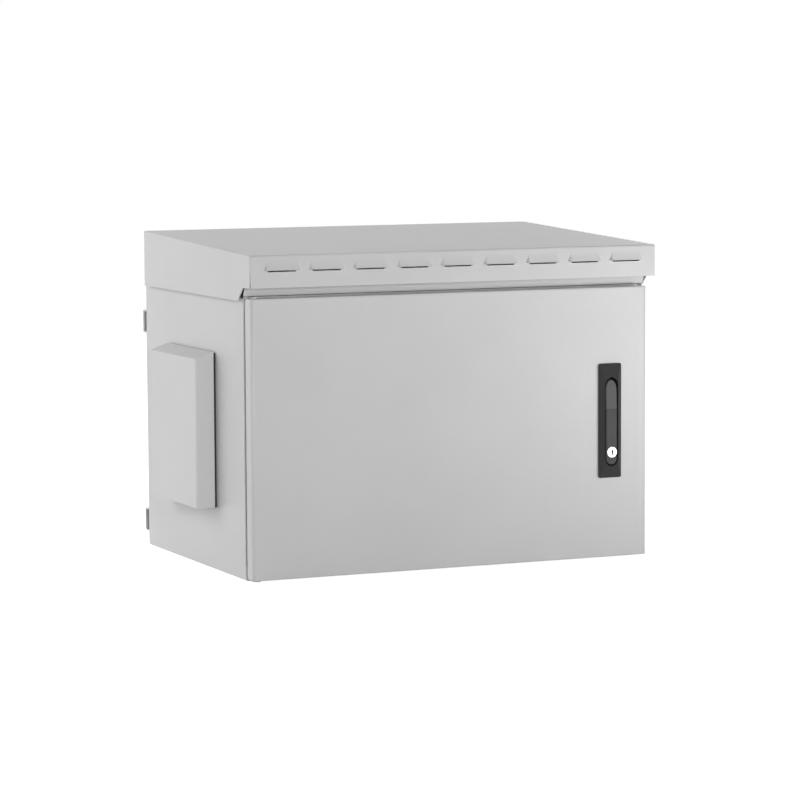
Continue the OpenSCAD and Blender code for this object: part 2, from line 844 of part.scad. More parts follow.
// Angle along a side wall that carries the rack rails
module depth_support(upper, right) color(zinc) mirrored(right) {
  s = upper ? 1 : -1;
  z = upper ? support_z1 : support_z0;
  m = sheet / 2;
  difference() {
    along_y(yf + support_in, yb - support_in) folded([
      [-in_x + m, z - s * support_leg],
      [-in_x + m, z + s * m],
      [-in_x + support_w, z + s * m]
    ], sheet, fold_r);
    for (y = [rack_yf, rack_yr - rack_leg]) along_z(z - 2 * sheet, z + 2 * sheet)
      round_rect(
        -rack_screw_x - rack_screw_r - slip, -rack_screw_x + rack_screw_r + slip,
        y + rack_slot_in, y + rack_leg - rack_slot_in, rack_screw_r
      );
  }
}

// Folded rail with square holes in groups of three to the rack unit, and a foot at each end
module rack_rail(front, right) color(zinc) mirrored(right) {
  y = front ? rack_yf : rack_yr;
  s = front ? 1 : -1;
  m = rack_t / 2;
  difference() {
    along_z(rack_z0, rack_z1) folded([
      [-rack_x0, y + s * m],
      [-rack_x1 + m, y + s * m],
      [-rack_x1 + m, y + s * rack_leg]
    ], rack_t, rack_r);
    for (u = [0:rack_n - 1], h = rack_hole_z) {
      z = rack_base + u * rack_unit + h;
      slab(
        [-rack_pitch / 2 - rack_hole / 2, y - rack_t - eps, z - rack_hole / 2],
        [-rack_pitch / 2 + rack_hole / 2, y + rack_t + eps, z + rack_hole / 2]
      );
    }
  }
  mid = y + s * rack_leg / 2;
  half = rack_leg / 2 - rack_foot_in;
  for (z = [rack_z0, rack_z1 - rack_t]) difference() {
    slab([-rack_x1 - rack_foot + rack_t, mid - half, z], [-rack_x1 + m, mid + half, z + rack_t]);
    rod_z([-rack_screw_x, mid, z - eps], rack_t + 2 * eps, rack_screw_r + screw_play);
  }
}

module rail_screws() color(zinc) for (right = [false, true], front = [true, false], upper = [true, false])
  mirrored(right) {
    mid = front ? rack_yf + rack_leg / 2 : rack_yr - rack_leg / 2;
    z = upper ? rack_z1 - rack_t : rack_z0 + rack_t;
    translate([-rack_screw_x, mid, z]) rotate([upper ? 0 : 180, 0, 0]) {
      screw(rack_screw_r, rack_t + sheet + nut_t + nut_tail);
      translate([0, 0, rack_t + sheet]) hex_nut();
    }
  }

// Cable entry

function gland_places() = [
  for (x = [-1, 0, 1], y = [entry_y0 - entry_lap / 2, entry_y1 + entry_lap / 2])
    [x * (entry_l / 2 + entry_lap / 2), y]
];

function grommet_x(k) = (k - (grommet_n + 1) / 2) * grommet_pitch;

module gland_shape(lap) round_rect(
  -entry_l / 2 - lap, entry_l / 2 + lap, entry_y0 - lap, entry_y1 + lap, gland_r
);

module gland_plate() color(zinc) difference() {
  along_z(gland_z, gland_z + gland_t) gland_shape(entry_lap);
  for (k = [1:grommet_n])
    rod_z([grommet_x(k), (entry_y0 + entry_y1) / 2, gland_z - eps], gland_t + 2 * eps, grommet_r);
  for (q = gland_places()) rod_z([q[0], q[1], gland_z - eps], gland_t + 2 * eps, gland_screw_r + screw_play);
}

module gland_gasket() color(rubber) difference() {
  along_z(sheet, gland_z) difference() {
    gland_shape(entry_lap);
    round_rect(-entry_l / 2, entry_l / 2, entry_y0, entry_y1, entry_r);
  }
  for (q = gland_places()) rod_z([q[0], q[1], sheet - eps], gland_seal + 2 * eps, gland_screw_r + screw_play);
}

module gland_screws() color(zinc) for (q = gland_places())
  translate([q[0], q[1], gland_z + gland_t])
    rotate([180, 0, 0]) screw(gland_screw_r, gland_z + gland_t - slip);

// Rubber grommet with a stepped dome, closed by a thin membrane until a cable is pushed through
module cable_grommet(k) color(rubber) translate([grommet_x(k), (entry_y0 + entry_y1) / 2, gland_z])
  rotate_extrude() polygon([
    [0, grommet_z(2)],
    [grommet_r * grommet_tip, grommet_z(2)],
    [grommet_r * grommet_tip, grommet_z(1)],
    [grommet_r * grommet_mid, grommet_z(1)],
    [grommet_r * grommet_mid, grommet_z(0)],
    [grommet_r + grommet_lip, grommet_z(0)],
    [grommet_r + grommet_lip, gland_t],
    [grommet_r, gland_t],
    [grommet_r, 0],
    [grommet_r + grommet_lip, 0],
    [grommet_r + grommet_skin, -grommet_lip],
    [grommet_r * grommet_bore, -grommet_lip],
    [grommet_r * grommet_bore, grommet_z(1) - grommet_skin],
    [grommet_r * grommet_hole, grommet_z(1) - grommet_skin],
    [grommet_r * grommet_hole, grommet_z(2) - grommet_skin],
    [0, grommet_z(2) - grommet_skin]
  ]);

// Height of a step of the grommet's dome
function grommet_z(k) = gland_t + grommet_rim + k * grommet_step;

module earth_stud_body() color(zinc) translate([-lip_x + earth_in, yf + earth_back, sheet]) earth_stud();

// Hinges

// Bracket on the front frame whose ear takes a hinge pin
module hinge_ear(upper) color(paint) {
  z = upper ? door_z1 + ear_gap : door_z0 - ear_gap - ear_t;
  leg_z = upper ? z - ear_leg_h + ear_t : z;
  difference() {
    union() {
      rod_z([hinge_x, hinge_y, z], ear_t, ear_r);
      slab([hinge_x - ear_r, hinge_y, z], [hinge_x + ear_r, yf, z + ear_t]);
      slab([-hw + ear_in, yf - ear_t, leg_z], [-hw + ear_leg_w, yf, leg_z + ear_leg_h]);
    }
    rod_z([hinge_x, hinge_y, z - eps], ear_t + 2 * eps, hinge_pin_r + run);
  }
}

// Guide inside a corner of the door for the pin
module hinge_block(upper) color(zinc) {
  z = upper ? door_z1 - sheet - block_lift - block_h : door_z0 + sheet + block_lift;
  difference() {
    slab(
      [-hw + fold_r, block_y0, z],
      [hinge_x + block_w / 2, door_y1 - sheet, z + block_h]
    );
    rod_z([hinge_x, hinge_y, z - eps], block_h + 2 * eps, hinge_pin_r);
  }
}

// Drawn pin with a cross grip, that drops out of the ear when it is pulled back
module hinge_pin(upper) color(chrome) {
  end_z = upper ? door_z1 + ear_gap + ear_t : door_z0 - ear_gap - ear_t;
  reach = ear_t + ear_gap + sheet + block_lift + block_h + pin_tail;
  translate([hinge_x, hinge_y, end_z]) mirror([0, 0, upper ? 1 : 0]) {
    cylinder(h = reach, r = hinge_pin_r);
    translate([0, 0, reach - pin_grip_in]) rotate([0, 90, 0]) translate([0, 0, -hinge_pin_r])
      cylinder(h = pin_grip_l, r = pin_grip_r);
  }
}

// Door

module pan(inset, back) intersection() {
  along_y(door_y0 + inset, back) round_rect(
    -hw + inset, hw - inset, door_z0 + inset, door_z1 - inset, fold_r - inset
  );
  along_z(door_z0, door_z1) round_front(-hw + inset, hw - inset, door_y0 + inset, back, door_r - inset);
  along_x(-hw, hw) swapped()
    round_front(door_z0 + inset, door_z1 - inset, door_y0 + inset, back, fold_r - inset);
}

module door_panel() color(paint) difference() {
  union() {
    difference() {
      pan(0, door_y1);
      pan(sheet, door_y1 + eps);
    }
    along_y(door_y1 - sheet, door_y1) difference() {
      round_rect(-hw + sheet / 2, hw - sheet / 2, door_z0 + sheet / 2, door_z1 - sheet / 2, in_r);
      rect(-hw + hem_in, hw - hem_in, door_z0 + hem_in, door_z1 - hem_in);
    }
  }
  along_y(door_y0 - eps, skin_y + eps) round_rect(
    handle_x - recess_w / 2 - tub_wall - slip, handle_x + recess_w / 2 + tub_wall + slip,
    recess_z0 - tub_wall - slip, recess_z1 + tub_wall + slip, tub_r
  );
  for (z = lock_screw_z()) rod_y([handle_x, door_y0 - eps, z], sheet + 2 * eps, lock_screw_r + screw_play);
  for (z = [door_z0 - eps, door_z1 - sheet - eps])
    rod_z([hinge_x, hinge_y, z], sheet + 2 * eps, hinge_pin_r + screw_play);
}

// Foam seal on the door's inside that meets the rain lip
module door_gasket() color(rubber) along_y(skin_y, yf - lip_d - slip) difference() {
  round_rect(
    -lip_x - sheet / 2 - seal_in + sheet, lip_x + sheet / 2 + seal_in - sheet,
    lip_z0 - seal_in + sheet / 2, lip_z1 + seal_in - sheet / 2, lip_r + seal_in
  );
  round_rect(
    -lip_x - sheet / 2 - seal_in + sheet + seal_w, lip_x + sheet / 2 + seal_in - sheet - seal_w,
    lip_z0 - seal_in + sheet / 2 + seal_w, lip_z1 + seal_in - sheet / 2 - seal_w, seal_r
  );
}

module earth_stud_door() color(zinc) translate([-lip_x + earth_in, skin_y, door_z0 + earth_up])
  rotate([-90, 0, 0]) earth_stud();

// Swing handle

function lock_screw_z() = [handle_z + lock_screw_low, handle_z + handle_l - lock_screw_high];

// Outline with two round ends, from z0 to z1
module stadium(w, z0, z1) {
  rect(handle_x - w / 2, handle_x + w / 2, z0 + w / 2, z1 - w / 2);
  for (z = [z0 + w / 2, z1 - w / 2]) translate([handle_x, z]) circle(w / 2);
}

module lock_escutcheon() color(plastic) difference() {
  union() {
    intersection() {
      along_y(door_y0 - handle_h, door_y0 - lock_seal)
        round_rect(handle_x - handle_w / 2, handle_x + handle_w / 2, handle_z, handle_z + handle_l, handle_r);
      along_z(handle_z, handle_z + handle_l) bevel(
        handle_x - handle_w / 2, handle_x + handle_w / 2, handle_x - plateau_w / 2, handle_x + plateau_w / 2
      );
      along_x(handle_x - handle_w, handle_x + handle_w) swapped() bevel(
        handle_z, handle_z + handle_l, handle_z + plateau_low, handle_z + handle_l - plateau_high
      );
    }
    along_y(door_y0 - lock_seal - eps, door_y0 + tub_d) round_rect(
      handle_x - recess_w / 2 - tub_wall, handle_x + recess_w / 2 + tub_wall,
      recess_z0 - tub_wall, recess_z1 + tub_wall, tub_r
    );
  }
  along_y(door_y0 - handle_h - eps, door_y0 + tub_deep) stadium(recess_w, recess_z0, recess_z1);
  rod_y([handle_x, door_y0 + tub_deep - eps, pivot_z], tub_floor + 2 * eps, spindle_r + run);
  for (z = lock_screw_z())
    rod_y([handle_x, door_y0 - lock_seal - lock_screw_l, z], lock_screw_l + eps, lock_screw_r);
}

// Bevelled section of the escutcheon: a low edge, then slopes up to a flat top
module bevel(a0, a1, b0, b1) polygon([
  [a0, door_y0], [a1, door_y0], [a1, door_y0 - lock_seal - handle_rim], [b1, door_y0 - handle_h],
  [b0, door_y0 - handle_h], [a0, door_y0 - lock_seal - handle_rim]
]);

module lock_gasket() color(rubber) difference() {
  along_y(door_y0 - lock_seal, door_y0) difference() {
    round_rect(
      handle_x - handle_w / 2 + seal_edge, handle_x + handle_w / 2 - seal_edge,
      handle_z + seal_edge, handle_z + handle_l - seal_edge, handle_r
    );
    round_rect(
      handle_x - recess_w / 2 - tub_wall, handle_x + recess_w / 2 + tub_wall,
      recess_z0 - tub_wall, recess_z1 + tub_wall, tub_r
    );
  }
  for (z = lock_screw_z())
    rod_y([handle_x, door_y0 - lock_seal - eps, z], lock_seal + 2 * eps, lock_screw_r + screw_play);
}

module lock_screws() color(zinc) for (z = lock_screw_z())
  translate([handle_x, skin_y, z])
    rotate([90, 0, 0]) screw(lock_screw_r, sheet + lock_seal + lock_screw_bite);

// Square end of the spindle that carries the cam
module spindle_square() rect(
  handle_x - square_w / 2, handle_x + square_w / 2, pivot_z - square_w / 2, pivot_z + square_w / 2
);

// Spindle that the lever turns: a forked head in the tub, and a shaft to the cam
module lock_spindle() color(zinc) difference() {
  union() {
    rod_y([handle_x, door_y0 + tub_deep - head_t, pivot_z], head_t, spindle_head);
    rod_y([handle_x, door_y0 + tub_deep, pivot_z], cam_y0 - door_y0 - tub_deep, spindle_r);
    along_y(cam_y0 - eps, cam_y1) spindle_square();
    for (s = [-1, 1]) {
      x0 = handle_x + s * (lug_w / 2 + slip + clevis_t / 2) - clevis_t / 2;
      rod_x([x0, pivot_y, pivot_z], clevis_t, clevis_r);
      slab([x0, pivot_y, pivot_z - clevis_r], [x0 + clevis_t, door_y0 + tub_deep, pivot_z + clevis_r]);
    }
  }
  rod_x([handle_x - spindle_head, pivot_y, pivot_z], 2 * spindle_head, lever_pin_r);
  rod_y([handle_x, cam_y1 - cam_screw_hole, pivot_z], cam_screw_hole + eps, cam_screw_r);
}

module lever_pin() color(chrome) rod_x(
  [handle_x - lug_w / 2 - slip - clevis_t, pivot_y, pivot_z], lug_w + 2 * slip + 2 * clevis_t, lever_pin_r
);

// Flat cam behind the frame, turned down so that the door is free to open
module latch_cam() color(zinc) difference() {
  along_y(cam_y0, cam_y1) {
    for (z = [pivot_z, pivot_z - cam_l + cam_w / 2]) translate([handle_x, z]) circle(cam_w / 2);
    rect(handle_x - cam_w / 2, handle_x + cam_w / 2, pivot_z - cam_l + cam_w / 2, pivot_z);
  }
  along_y(cam_y0 - eps, cam_y1 + eps) spindle_square();
}

module cam_screw() color(zinc) translate([handle_x, cam_y1, pivot_z]) rotate([90, 0, 0]) {
  screw(cam_screw_r, cam_screw_l);
  mirror([0, 0, 1]) cylinder(h = cam_washer_t, r = cam_washer_r);
}

// Lever outline: round lower end, pointed round upper end
module lever_outline(inset) {
  w = lever_w - 2 * inset;
  translate([handle_x, lever_z0 + lever_w / 2]) circle(w / 2);
  rect(handle_x - w / 2, handle_x + w / 2, lever_z0 + lever_w / 2, lever_z1 - lever_nose);
  translate([handle_x, lever_z1 - lever_nose]) scale([w / 2, lever_nose - inset]) circle(1);
}

module lock_lever() color(plastic) difference() {
  union() {
    hull() {
      along_y(door_y0 - handle_h + lever_chamfer, door_y0) lever_outline(0);
      along_y(door_y0 - handle_h, door_y0) lever_outline(lever_chamfer);
    }
    rod_x([handle_x - lug_w / 2, pivot_y, pivot_z], lug_w, lug_r);
    slab(
      [handle_x - lug_w / 2, door_y0 - eps, pivot_z - lug_r],
      [handle_x + lug_w / 2, pivot_y, pivot_z + lug_r]
    );
  }
  rod_x([handle_x - lug_w, pivot_y, pivot_z], 2 * lug_w, lever_pin_r + run);
  rod_y([handle_x, door_y0 - handle_h - eps, lock_z], handle_h + 2 * eps, barrel_r);
}

// Lock cylinder in the lever's lower end, with a round face
module lock_cylinder() color(chrome) difference() {
  union() {
    rod_y([handle_x, door_y0 - handle_h - face_t, lock_z], face_t, lock_r);
    rod_y([handle_x, door_y0 - handle_h, lock_z], handle_h + barrel_tail, barrel_r);
  }
  rod_y(
    [handle_x, door_y0 - handle_h - face_t - eps, lock_z],
    handle_h + face_t + barrel_tail + 2 * eps, plug_r + run
  );
}

// Turning plug with the keyway and the locking tongue at its rear
module key_plug() color(chrome) difference() {
  y0 = door_y0 - handle_h - face_t - slip;
  y1 = door_y0 + barrel_tail + slip;
  union() {
    rod_y([handle_x, y0, lock_z], y1 - y0, plug_r);
    along_y(y1, y1 + tongue_t) {
      rect(handle_x - tongue_w / 2, handle_x + tongue_w / 2, lock_z, lock_z + tongue_l);
      translate([handle_x, lock_z]) circle(tongue_w / 2 + tongue_rim);
    }
  }
  slab(
    [handle_x - keyway_w / 2, y0 - eps, lock_z - keyway_low],
    [handle_x + keyway_w / 2, door_y0, lock_z + keyway_high]
  );
}

body_wrap();
front_frame();
back_panel();
roof_cover();
roof_bracket(false);  // roof_bracket_left
roof_bracket(true);  // roof_bracket_right
roof_bolts();
wall_rail(rail_low + rail_pitch);  // wall_rail_upper
wall_rail(rail_low);  // wall_rail_lower
vent_hood(false);  // vent_hood_left
vent_hood(true);  // vent_hood_right
hood_gasket(false);  // hood_gasket_left
hood_gasket(true);  // hood_gasket_right
hood_screws();
filter_frame(false);  // filter_frame_left
filter_frame(true);  // filter_frame_right
filter_mat(false);  // filter_mat_left
filter_mat(true);  // filter_mat_right
filter_screws();
fan_frame();
fan_guard();
fan_screws();
depth_support(true, false);  // depth_support_upper_left
depth_support(true, true);  // depth_support_upper_right
depth_support(false, false);  // depth_support_lower_left
depth_support(false, true);  // depth_support_lower_right
rack_rail(true, false);  // rack_rail_front_left
rack_rail(true, true);  // rack_rail_front_right
rack_rail(false, false);  // rack_rail_rear_left
rack_rail(false, true);  // rack_rail_rear_right
rail_screws();
gland_plate();
gland_gasket();
cable_grommet(1);  // cable_grommet_1
cable_grommet(2);  // cable_grommet_2
cable_grommet(3);  // cable_grommet_3
cable_grommet(4);  // cable_grommet_4
gland_screws();
hinge_ear(true);  // hinge_ear_upper
hinge_ear(false);  // hinge_ear_lower
earth_stud_body();
door_panel();
door_gasket();
hinge_block(true);  // hinge_block_upper
hinge_block(false);  // hinge_block_lower
hinge_pin(true);  // hinge_pin_upper
hinge_pin(false);  // hinge_pin_lower
lock_escutcheon();
lock_gasket();
lock_screws();
lock_spindle();
lever_pin();
latch_cam();
cam_screw();
earth_stud_door();
lock_lever();
lock_cylinder();
key_plug();
fan_rotor();
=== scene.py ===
# %% [markdown]
# # An outdoor wall cabinet with a rain roof
# The object is a steel cabinet for 19-inch equipment that hangs on an outside wall: a folded box, a
# door with a swing handle, a louvred roof that keeps rain off the top, a vent hood on each side and
# two rails behind it. The solids come in as a fixed frame, in metres. We dress them: a studio, one
# finish for each real material, and the fine forms that a sheet-metal shop or a moulder adds.

# %% Load the frame
import json
import math

import bpy
from mathutils import Matrix, Vector

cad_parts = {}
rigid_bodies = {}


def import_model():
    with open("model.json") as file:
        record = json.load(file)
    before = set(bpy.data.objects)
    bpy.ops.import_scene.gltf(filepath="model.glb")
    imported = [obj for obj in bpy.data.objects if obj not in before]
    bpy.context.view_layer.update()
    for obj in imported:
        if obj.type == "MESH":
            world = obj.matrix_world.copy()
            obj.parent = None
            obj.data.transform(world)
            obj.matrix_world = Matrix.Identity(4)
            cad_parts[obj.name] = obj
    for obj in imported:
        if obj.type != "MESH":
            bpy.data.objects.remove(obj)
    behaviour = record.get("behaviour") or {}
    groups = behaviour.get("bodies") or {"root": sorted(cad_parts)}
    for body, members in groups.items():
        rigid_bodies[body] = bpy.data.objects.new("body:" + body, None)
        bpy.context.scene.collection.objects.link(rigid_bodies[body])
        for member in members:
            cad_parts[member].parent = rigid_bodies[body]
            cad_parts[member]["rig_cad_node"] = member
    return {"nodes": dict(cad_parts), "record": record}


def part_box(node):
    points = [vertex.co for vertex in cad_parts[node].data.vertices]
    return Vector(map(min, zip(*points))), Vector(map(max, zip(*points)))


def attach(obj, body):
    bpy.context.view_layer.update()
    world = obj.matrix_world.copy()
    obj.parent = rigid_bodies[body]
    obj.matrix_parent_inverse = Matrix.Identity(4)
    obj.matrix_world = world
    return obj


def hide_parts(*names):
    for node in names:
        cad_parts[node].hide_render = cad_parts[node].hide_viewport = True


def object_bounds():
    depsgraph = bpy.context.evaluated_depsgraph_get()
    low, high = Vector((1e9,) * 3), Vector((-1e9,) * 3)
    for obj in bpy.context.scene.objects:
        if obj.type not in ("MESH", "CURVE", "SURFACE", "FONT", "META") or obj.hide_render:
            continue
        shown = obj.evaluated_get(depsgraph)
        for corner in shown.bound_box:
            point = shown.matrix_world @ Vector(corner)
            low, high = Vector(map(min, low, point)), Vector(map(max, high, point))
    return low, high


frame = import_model()
nodes = frame["nodes"]
cad_low, cad_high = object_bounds()
MM = 0.001
print("nodes", len(nodes), "size mm", [round(v / MM) for v in cad_high - cad_low])

# %% [markdown]
# ## Camera
# The picture was taken from the left and a little above, with a long lens from about 4.7 m away, so
# the upright edges stay nearly parallel. The place and the angles come from lining up the cabinet's
# straight edges, whose sizes are known, with the same edges in the picture.

# %% Camera
IMAGE_SIDE = 800
FOCAL_PIXELS = 3271.9
SENSOR = 36.0
CAMERA_PLACE = Vector((-1.8827, -4.2999, 0.6767))
YAW = math.radians(23.83)
PITCH = math.radians(5.60)
ROLL = math.radians(-0.30)

bpy.ops.object.select_all(action="DESELECT")
bpy.ops.object.camera_add(location=CAMERA_PLACE)
camera = bpy.context.object
camera.name = "camera"
turn = Matrix.Rotation(-YAW, 3, "Z") @ Matrix.Rotation(math.pi / 2 - PITCH, 3, "X")
camera.rotation_euler = (turn @ Matrix.Rotation(ROLL, 3, "Z")).to_euler()
camera.data.sensor_width = SENSOR
camera.data.lens = FOCAL_PIXELS / IMAGE_SIDE * SENSOR
camera.data.clip_end = 100
bpy.context.scene.camera = camera
print("lens mm", round(camera.data.lens, 1))

# %% [markdown]
# ## Light and floor
# The cabinet stands in a white studio. A small lamp low on the right, with a limited spread, stands for
# light thrown back by the white floor: it makes the door brighter towards its upper right corner. A lamp
# in front fills the door, two large ones light the sides from behind, and one overhead lights the roof.
# The white round the cabinet is painted only for the rays that look at it or mirror it, with the Light
# Path node, so it shows in the picture and in reflections and doesn't wash out the soft shading.

# %% One function adds a node with its settings and links
def add_node(tree, kind, settings=None, links=None):
    node = tree.nodes.new(kind)
    for name, value in (settings or {}).items():
        if name in node.inputs:
            node.inputs[name].default_value = value
        else:
            setattr(node, name, value)
    for name, source in (links or {}).items():
        tree.links.new(source, node.inputs[name])
    return node


def seen_by_eye(tree):
    """One for the rays that look at a surface, mirror it or pass through to it, else nought."""
    path = add_node(tree, "ShaderNodeLightPath")
    first = add_node(tree, "ShaderNodeMath", {"operation": "MAXIMUM"})
    tree.links.new(path.outputs["Is Camera Ray"], first.inputs[0])
    tree.links.new(path.outputs["Is Glossy Ray"], first.inputs[1])
    both = add_node(tree, "ShaderNodeMath", {"operation": "MAXIMUM"})
    tree.links.new(first.outputs[0], both.inputs[0])
    tree.links.new(path.outputs["Is Transmission Ray"], both.inputs[1])
    return both.outputs[0]


# %% World
AMBIENT = 0.15

scene = bpy.context.scene
scene.view_settings.view_transform = "Standard"
world = bpy.data.worlds.new("white_studio")
world.use_nodes = True
scene.world = world
tree = world.node_tree
tree.nodes.clear()
dim = add_node(tree, "ShaderNodeBackground", {"Color": (1, 1, 1, 1), "Strength": AMBIENT})
white = add_node(tree, "ShaderNodeBackground", {"Color": (1, 1, 1, 1), "Strength": 1.0})
mix = add_node(tree, "ShaderNodeMixShader", links={"Fac": seen_by_eye(tree)})
tree.links.new(dim.outputs[0], mix.inputs[1])
tree.links.new(white.outputs[0], mix.inputs[2])
add_node(tree, "ShaderNodeOutputWorld", links={"Surface": mix.outputs[0]})
print("world ambient", AMBIENT)

# %% Floor
FLOOR_SIDE = 60.0
FLOOR_GLOW = 0.90
FLOOR_DROP = 0.5 * MM
PAPER = (0.8, 0.8, 0.8, 1)

bpy.ops.object.select_all(action="DESELECT")
bpy.ops.mesh.primitive_plane_add(size=FLOOR_SIDE, location=(0, 0, cad_low.z - FLOOR_DROP))
floor = bpy.context.object
floor.name = "floor"
paper = bpy.data.materials.new("white_studio_paper")
paper.use_nodes = True
tree = paper.node_tree
tree.nodes.clear()
lit = add_node(tree, "ShaderNodeBsdfDiffuse", {"Color": PAPER})
glow = add_node(tree, "ShaderNodeEmission", {"Color": (1, 1, 1, 1), "Strength": FLOOR_GLOW})
both = add_node(tree, "ShaderNodeAddShader")
tree.links.new(lit.outputs[0], both.inputs[0])
tree.links.new(glow.outputs[0], both.inputs[1])
mix = add_node(tree, "ShaderNodeMixShader", links={"Fac": seen_by_eye(tree)})
tree.links.new(lit.outputs[0], mix.inputs[1])
tree.links.new(both.outputs[0], mix.inputs[2])
add_node(tree, "ShaderNodeOutputMaterial", links={"Surface": mix.outputs[0]})
floor.data.materials.append(paper)
print("floor at z", round(floor.location.z, 4))


# %% Lamps
def soft_lamp(name, place, target, side, power, spread=180):
    bpy.ops.object.select_all(action="DESELECT")
    bpy.ops.object.light_add(type="AREA", location=place)
    lamp = bpy.context.object
    lamp.name = name
    lamp.data.shape = "SQUARE"
    lamp.data.size = side
    lamp.data.energy = power
    lamp.data.spread = math.radians(spread)
    lamp.visible_camera = False
    lamp.rotation_euler = (Vector(target) - Vector(place)).to_track_quat("-Z", "Y").to_euler()
    return lamp


MIDDLE = (cad_low + cad_high) / 2
soft_lamp("right_window", (0.85, -0.95, 0.08), (0.30, -0.22, 0.44), 0.4, 1.55, 85)
soft_lamp("front_fill", (-0.9, -3.4, 0.8), MIDDLE, 0.4, 44)
soft_lamp("left_window", (-2.0, 1.1, 0.95), (-0.3, 0.0, 0.4), 1.8, 28)
soft_lamp("rear_fill", (2.0, 1.1, 0.95), (0.3, 0.0, 0.4), 1.8, 14)
soft_lamp("overhead", (0.0, 0.6, 3.0), MIDDLE, 2.0, 12)

# %% [markdown]
# ## Finishes
# Each finish starts from what the real surface is. Colours are written as sRGB hex values, the way a
# paint chart gives them, and one function turns them into the linear numbers that a shader reads.
# Patterns sit on Object coordinates, so they stay with the metal in every pose, and their scales are
# worked out from real sizes in millimetres.


# %% Colour and material helpers
def linear(code):
    parts = [int(code[i:i + 2], 16) / 255 for i in (0, 2, 4)]
    return [p / 12.92 if p <= 0.04045 else ((p + 0.055) / 1.055) ** 2.4 for p in parts] + [1.0]


def per_mm(size):
    """Texture scale whose pattern repeats about once in this many millimetres."""
    return 1 / (size * MM)


def start_material(name):
    material = bpy.data.materials.new(name)
    material.use_nodes = True
    tree = material.node_tree
    place = add_node(tree, "ShaderNodeTexCoord").outputs["Object"]
    return material, tree, tree.nodes["Principled BSDF"], place


def tint_between(tree, shader, pattern, dark, light):
    """Colour that goes from dark to light with a pattern's value."""
    tint = add_node(tree, "ShaderNodeValToRGB", links={"Fac": pattern})
    tint.color_ramp.elements[0].color = linear(dark)
    tint.color_ramp.elements[1].color = linear(light)
    tree.links.new(tint.outputs["Color"], shader.inputs["Base Color"])


def raise_grain(tree, shader, height, strength, depth):
    """Fine relief, this many metres deep, that follows a pattern's value."""
    bump = add_node(tree, "ShaderNodeBump", {"Strength": strength, "Distance": depth}, {"Height": height})
    tree.links.new(bump.outputs["Normal"], shader.inputs["Normal"])


# %% Powder coat on the cabinet's sheet metal
# Polyester powder melts into a skin with a fine leathery grain. It gives the eye a soft satin light
# with no clear mirror image. The grain is 1 to 3 mm wide; it is drawn at 3 mm, and deeper than a real
# coat's, so that it shows.
def powder_coat():
    material, tree, shader, place = start_material("powder_coated_steel")
    cloud = add_node(tree, "ShaderNodeTexNoise", {"Scale": per_mm(120), "Detail": 3.0}, {"Vector": place})
    tint_between(tree, shader, cloud.outputs["Fac"], "cbcbcb", "d2d2d2")
    grain = add_node(tree, "ShaderNodeTexNoise", {"Scale": per_mm(3.0), "Detail": 3.0}, {"Vector": place})
    raise_grain(tree, shader, grain.outputs["Fac"], 0.75, 0.3 * MM)
    shader.inputs["Roughness"].default_value = 0.42
    shader.inputs["IOR"].default_value = 1.5
    return material


# %% Zinc-plated steel
# A thin bright zinc layer on rolled steel. It gives the eye a cool grey metal with faint lines from
# the rolling mill and cloudy patches of passivation.
def zinc_plate():
    material, tree, shader, place = start_material("zinc_plated_steel")
    cloud = add_node(tree, "ShaderNodeTexNoise", {"Scale": per_mm(18), "Detail": 4.0}, {"Vector": place})
    tint_between(tree, shader, cloud.outputs["Fac"], "a6aaad", "c4c8ca")
    stretch = add_node(tree, "ShaderNodeMapping", {"Scale": (0.05, 1.0, 1.0)}, {"Vector": place})
    lines = add_node(
        tree, "ShaderNodeTexNoise", {"Scale": per_mm(0.7), "Detail": 2.0}, {"Vector": stretch.outputs[0]}
    )
    rough = add_node(
        tree, "ShaderNodeMapRange", {"To Min": 0.30, "To Max": 0.44}, {"Value": lines.outputs["Fac"]}
    )
    tree.links.new(rough.outputs[0], shader.inputs["Roughness"])
    shader.inputs["Metallic"].default_value = 1.0
    return material


# %% Bright nickel plate
# Polished and plated zinc casting or wire. It gives the eye a nearly clear mirror, slightly warm,
# dulled in places by handling.
def nickel_plate():
    material, tree, shader, place = start_material("bright_nickel_plate")
    smear = add_node(tree, "ShaderNodeTexNoise", {"Scale": per_mm(6), "Detail": 3.0}, {"Vector": place})
    rough = add_node(
        tree, "ShaderNodeMapRange", {"To Min": 0.10, "To Max": 0.24}, {"Value": smear.outputs["Fac"]}
    )
    tree.links.new(rough.outputs[0], shader.inputs["Roughness"])
    shader.inputs["Base Color"].default_value = linear("c6c6c2")
    shader.inputs["Metallic"].default_value = 1.0
    return material


# %% Black glass-filled nylon
# Moulded in a spark-eroded tool. It gives the eye a dull black with a fine even pebble and a soft
# grey sheen where it faces the light. The pebble is about 0.2 mm; it is drawn at 0.6 mm to show. A lighter
# grey of it is painted on the upper part of the lever as a painted highlight.
def black_nylon(name, dark, light, shine):
    material, tree, shader, place = start_material(name)
    cloud = add_node(tree, "ShaderNodeTexNoise", {"Scale": per_mm(25), "Detail": 3.0}, {"Vector": place})
    tint_between(tree, shader, cloud.outputs["Fac"], dark, light)
    pebble = add_node(tree, "ShaderNodeTexVoronoi", {"Scale": per_mm(0.6)}, {"Vector": place})
    raise_grain(tree, shader, pebble.outputs["Distance"], 0.2, 0.05 * MM)
    shader.inputs["Roughness"].default_value = 0.5
    shader.inputs["IOR"].default_value = 1.53
    shader.inputs["Specular IOR Level"].default_value = shine
    return material


